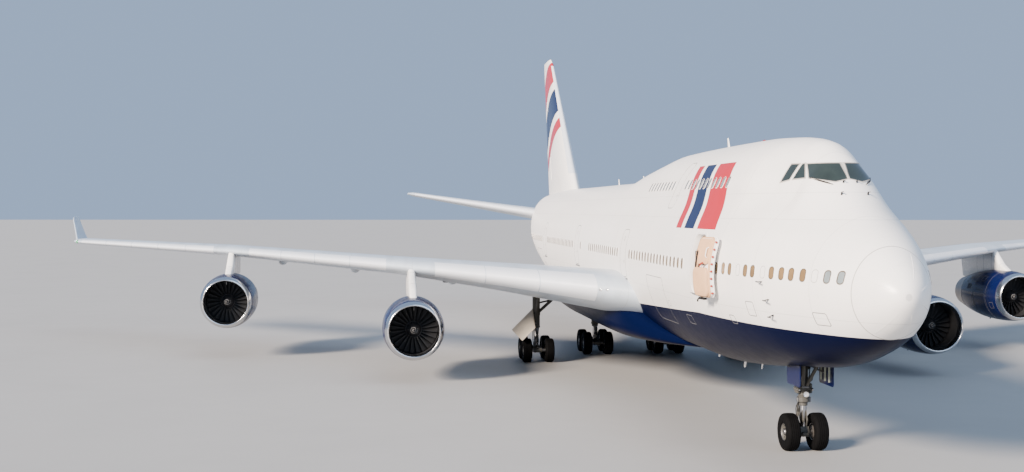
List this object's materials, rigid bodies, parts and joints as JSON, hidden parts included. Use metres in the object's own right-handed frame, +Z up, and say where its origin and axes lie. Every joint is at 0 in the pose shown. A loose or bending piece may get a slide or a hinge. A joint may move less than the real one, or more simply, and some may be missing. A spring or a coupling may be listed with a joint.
{
  "type": "half-size scale model of a four-engine wide body airliner",
  "caption": "Half-size model of a wide body airliner with a raised upper deck, podded engines, winglets and a wheeled gear, for carrying passengers.",
  "frame": {"origin": "on the ground under the middle of the aircraft's length and span", "axes": "+X to port, +Y aft from the nose, +Z up"},
  "size_m": [32.2356, 35.33, 9.705],
  "materials": {
    "white_paint": "glossy white paint",
    "grey_paint": "satin light grey paint",
    "navy_paint": "glossy navy paint",
    "engine_metal": "dark titanium",
    "gear_metal": "light grey gloss",
    "tyre_black": "black rubber on painted hubs",
    "door_lining": "cream cabin lining"
  },
  "bodies": {
    "airframe": {"nose_radome": "white_paint", "fuselage": "white_paint", "forward_door_starboard": "door_lining", "wing_body_fairing": "grey_paint", "winglet_port": "white_paint", "wing_port": "grey_paint", "winglet_starboard": "white_paint", "wing_starboard": "grey_paint", "stabiliser_port": "grey_paint", "stabiliser_starboard": "grey_paint", "fin": "white_paint", "nacelle_1": "navy_paint", "engine_core_1": "engine_metal", "pylon_1": "white_paint", "nacelle_2": "navy_paint", "engine_core_2": "engine_metal", "pylon_2": "white_paint", "nacelle_3": "navy_paint", "engine_core_3": "engine_metal", "pylon_3": "white_paint", "nacelle_4": "navy_paint", "engine_core_4": "engine_metal", "pylon_4": "white_paint", "nose_gear_leg": "gear_metal", "nose_gear_door_port": "navy_paint", "nose_gear_door_starboard": "navy_paint", "wing_gear_leg_port": "gear_metal", "wing_gear_door_port": "grey_paint", "body_gear_leg_port": "gear_metal", "wing_gear_leg_starboard": "gear_metal", "wing_gear_door_starboard": "grey_paint", "body_gear_leg_starboard": "gear_metal"},
    "aileron_inboard_port": {"aileron_inboard_port": "grey_paint"},
    "aileron_outboard_port": {"aileron_outboard_port": "grey_paint"},
    "elevator_inboard_port": {"elevator_inboard_port": "grey_paint"},
    "elevator_outboard_port": {"elevator_outboard_port": "grey_paint"},
    "aileron_inboard_starboard": {"aileron_inboard_starboard": "grey_paint"},
    "aileron_outboard_starboard": {"aileron_outboard_starboard": "grey_paint"},
    "elevator_inboard_starboard": {"elevator_inboard_starboard": "grey_paint"},
    "elevator_outboard_starboard": {"elevator_outboard_starboard": "grey_paint"},
    "rudder_lower": {"rudder_lower": "white_paint"},
    "rudder_upper": {"rudder_upper": "white_paint"},
    "fan_1": {"fan_1": "engine_metal"},
    "fan_2": {"fan_2": "engine_metal"},
    "fan_3": {"fan_3": "engine_metal"},
    "fan_4": {"fan_4": "engine_metal"},
    "nose_gear_steering": {"nose_gear_steering": "gear_metal"},
    "nose_wheels": {"nose_wheels": "tyre_black"},
    "body_gear_truck_port": {"body_gear_truck_port": "gear_metal"},
    "wing_gear_wheels_front_port": {"wing_gear_wheels_front_port": "tyre_black"},
    "wing_gear_wheels_rear_port": {"wing_gear_wheels_rear_port": "tyre_black"},
    "body_gear_wheels_front_port": {"body_gear_wheels_front_port": "tyre_black"},
    "body_gear_wheels_rear_port": {"body_gear_wheels_rear_port": "tyre_black"},
    "body_gear_truck_starboard": {"body_gear_truck_starboard": "gear_metal"},
    "wing_gear_wheels_front_starboard": {"wing_gear_wheels_front_starboard": "tyre_black"},
    "wing_gear_wheels_rear_starboard": {"wing_gear_wheels_rear_starboard": "tyre_black"},
    "body_gear_wheels_front_starboard": {"body_gear_wheels_front_starboard": "tyre_black"},
    "body_gear_wheels_rear_starboard": {"body_gear_wheels_rear_starboard": "tyre_black"}
  },
  "joints": [
    {"name": "aileron_inboard_port_hinge", "type": "hinge", "parent": "airframe", "child": "aileron_inboard_port", "pos_m": [6.6375, 0.15248, 2.44558], "axis": [0.8257, 0.5614, 0.0553], "range_deg": [-20, 20]},
    {"name": "aileron_outboard_port_hinge", "type": "hinge", "parent": "airframe", "child": "aileron_outboard_port", "pos_m": [13.125, 4.51239, 2.79976], "axis": [0.8244, 0.5652, 0.0306], "range_deg": [-15, 25]},
    {"name": "elevator_inboard_port_hinge", "type": "hinge", "parent": "airframe", "child": "elevator_inboard_port", "pos_m": [2.05, 15.15245, 3.87382], "axis": [0.8614, 0.4868, 0.1452], "range_deg": [-17, 22]},
    {"name": "elevator_outboard_port_hinge", "type": "hinge", "parent": "airframe", "child": "elevator_outboard_port", "pos_m": [4.095, 16.30821, 4.21849], "axis": [0.8614, 0.4868, 0.1452], "range_deg": [-17, 22]},
    {"name": "aileron_inboard_starboard_hinge", "type": "hinge", "parent": "airframe", "child": "aileron_inboard_starboard", "pos_m": [-6.6375, 0.15248, 2.44558], "axis": [0.8257, -0.5614, -0.0553], "range_deg": [-20, 20]},
    {"name": "aileron_outboard_starboard_hinge", "type": "hinge", "parent": "airframe", "child": "aileron_outboard_starboard", "pos_m": [-13.125, 4.51239, 2.79976], "axis": [0.8244, -0.5652, -0.0306], "range_deg": [-15, 25]},
    {"name": "elevator_inboard_starboard_hinge", "type": "hinge", "parent": "airframe", "child": "elevator_inboard_starboard", "pos_m": [-2.05, 15.15245, 3.87382], "axis": [0.8614, -0.4868, -0.1452], "range_deg": [-17, 22]},
    {"name": "elevator_outboard_starboard_hinge", "type": "hinge", "parent": "airframe", "child": "elevator_outboard_starboard", "pos_m": [-4.095, 16.30821, 4.21849], "axis": [0.8614, -0.4868, -0.1452], "range_deg": [-17, 22]},
    {"name": "rudder_lower_hinge", "type": "hinge", "parent": "airframe", "child": "rudder_lower", "pos_m": [0, 14.11306, 5.8625], "axis": [0, 0.5091, 0.8607], "range_deg": [-31, 31]},
    {"name": "rudder_upper_hinge", "type": "hinge", "parent": "airframe", "child": "rudder_upper", "pos_m": [0, 15.4299, 8.095], "axis": [0, 0.5073, 0.8618], "range_deg": [-31, 31]},
    {"name": "fan_1_spin", "type": "hinge", "parent": "airframe", "child": "fan_1", "pos_m": [10.59, -0.49, 1.475], "axis": [0, 1, 0], "continuous": true},
    {"name": "fan_2_spin", "type": "hinge", "parent": "airframe", "child": "fan_2", "pos_m": [5.97, -5.345, 1.185], "axis": [0, 1, 0], "continuous": true},
    {"name": "fan_3_spin", "type": "hinge", "parent": "airframe", "child": "fan_3", "pos_m": [-5.97, -5.345, 1.185], "axis": [0, 1, 0], "continuous": true},
    {"name": "fan_4_spin", "type": "hinge", "parent": "airframe", "child": "fan_4", "pos_m": [-10.59, -0.49, 1.475], "axis": [0, 1, 0], "continuous": true},
    {"name": "nose_gear_steer", "type": "hinge", "parent": "airframe", "child": "nose_gear_steering", "pos_m": [0, -13.755, 0.6], "axis": [0, 0, 1], "range_deg": [-70, 70]},
    {"name": "nose_wheels_spin", "type": "hinge", "parent": "nose_gear_steering", "child": "nose_wheels", "pos_m": [0, -13.755, 0.3], "axis": [1, 0, 0], "continuous": true},
    {"name": "body_gear_steer_port", "type": "hinge", "parent": "airframe", "child": "body_gear_truck_port", "pos_m": [0.96, -0.195, 0.6], "axis": [0, 0, 1], "range_deg": [-13, 13]},
    {"name": "wing_gear_wheels_front_port_spin", "type": "hinge", "parent": "airframe", "child": "wing_gear_wheels_front_port", "pos_m": [2.75, -2.0975, 0.3], "axis": [1, 0, 0], "continuous": true},
    {"name": "wing_gear_wheels_rear_port_spin", "type": "hinge", "parent": "airframe", "child": "wing_gear_wheels_rear_port", "pos_m": [2.75, -1.3625, 0.3], "axis": [1, 0, 0], "continuous": true},
    {"name": "body_gear_wheels_front_port_spin", "type": "hinge", "parent": "body_gear_truck_port", "child": "body_gear_wheels_front_port", "pos_m": [0.96, -0.5625, 0.3], "axis": [1, 0, 0], "continuous": true},
    {"name": "body_gear_wheels_rear_port_spin", "type": "hinge", "parent": "body_gear_truck_port", "child": "body_gear_wheels_rear_port", "pos_m": [0.96, 0.1725, 0.3], "axis": [1, 0, 0], "continuous": true},
    {"name": "body_gear_steer_starboard", "type": "hinge", "parent": "airframe", "child": "body_gear_truck_starboard", "pos_m": [-0.96, -0.195, 0.6], "axis": [0, 0, 1], "range_deg": [-13, 13]},
    {"name": "wing_gear_wheels_front_starboard_spin", "type": "hinge", "parent": "airframe", "child": "wing_gear_wheels_front_starboard", "pos_m": [-2.75, -2.0975, 0.3], "axis": [1, 0, 0], "continuous": true},
    {"name": "wing_gear_wheels_rear_starboard_spin", "type": "hinge", "parent": "airframe", "child": "wing_gear_wheels_rear_starboard", "pos_m": [-2.75, -1.3625, 0.3], "axis": [1, 0, 0], "continuous": true},
    {"name": "body_gear_wheels_front_starboard_spin", "type": "hinge", "parent": "body_gear_truck_starboard", "child": "body_gear_wheels_front_starboard", "pos_m": [-0.96, -0.5625, 0.3], "axis": [1, 0, 0], "continuous": true},
    {"name": "body_gear_wheels_rear_starboard_spin", "type": "hinge", "parent": "body_gear_truck_starboard", "child": "body_gear_wheels_rear_starboard", "pos_m": [-0.96, 0.1725, 0.3], "axis": [1, 0, 0], "continuous": true}
  ]
}
